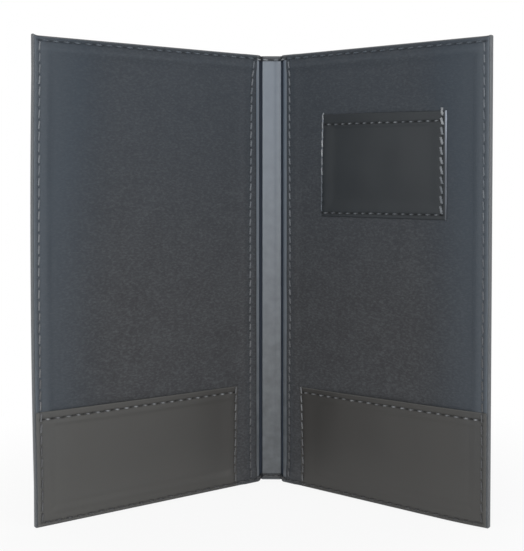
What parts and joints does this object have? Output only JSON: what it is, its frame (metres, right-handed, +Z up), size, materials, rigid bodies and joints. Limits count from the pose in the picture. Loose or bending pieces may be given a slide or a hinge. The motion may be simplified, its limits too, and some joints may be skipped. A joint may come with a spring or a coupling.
{
  "type": "guest check presenter",
  "caption": "Sewn leatherette guest check presenter, standing open like a book, with a bill pocket on each leaf and a card pocket.",
  "frame": {"origin": "middle of the ground that the open folder covers, at the height of its standing edges", "axes": "+Z up along the spine; +Y towards the spine (the back); the open side faces -Y; +X towards the leaf with the card pocket"},
  "size_m": [0.2368, 0.0872, 0.254],
  "materials": {
    "greyboard": "raw grey board",
    "cover_leatherette": "satin, fine pebble grain",
    "strip_leatherette": "smooth satin",
    "lining": "matt, fine textured",
    "pocket_leatherette": "smooth satin",
    "thread": "twisted polyester"
  },
  "bodies": {
    "spine": {"spine_board": "greyboard", "spine_cover": "cover_leatherette", "spine_strip": "strip_leatherette", "spine_thread_inside": "thread", "spine_thread_outside": "thread", "left_cover_fold": "cover_leatherette", "left_strip_fold": "strip_leatherette", "right_cover_fold": "cover_leatherette", "right_strip_fold": "strip_leatherette"},
    "left_leaf": {"left_bill_hem_thread": "thread", "left_bill_pocket": "pocket_leatherette", "left_bill_side_thread": "thread", "left_board": "greyboard", "left_cover": "cover_leatherette", "left_hinge_thread_inside": "thread", "left_hinge_thread_outside": "thread", "left_lining": "lining", "left_rim_thread_inside": "thread", "left_rim_thread_outside": "thread", "left_strip_wing": "strip_leatherette"},
    "right_leaf": {"card_pocket": "pocket_leatherette", "card_pocket_edge_thread": "thread", "card_pocket_hem_thread": "thread", "right_bill_hem_thread": "thread", "right_bill_pocket": "pocket_leatherette", "right_bill_side_thread": "thread", "right_board": "greyboard", "right_cover": "cover_leatherette", "right_hinge_thread_inside": "thread", "right_hinge_thread_outside": "thread", "right_lining": "lining", "right_rim_thread_inside": "thread", "right_rim_thread_outside": "thread", "right_strip_wing": "strip_leatherette"}
  },
  "joints": [
    {"name": "left_leaf_hinge", "type": "hinge", "parent": "spine", "child": "left_leaf", "pos_m": [-0.00645, 0.04285, 0.127], "axis": [0, 0, 1], "range_deg": [-37, 53], "deforming": ["left_cover_fold", "left_strip_fold"]},
    {"name": "right_leaf_hinge", "type": "hinge", "parent": "spine", "child": "right_leaf", "pos_m": [0.00645, 0.04285, 0.127], "axis": [0, 0, -1], "range_deg": [-37, 53], "deforming": ["right_cover_fold", "right_strip_fold"]}
  ]
}
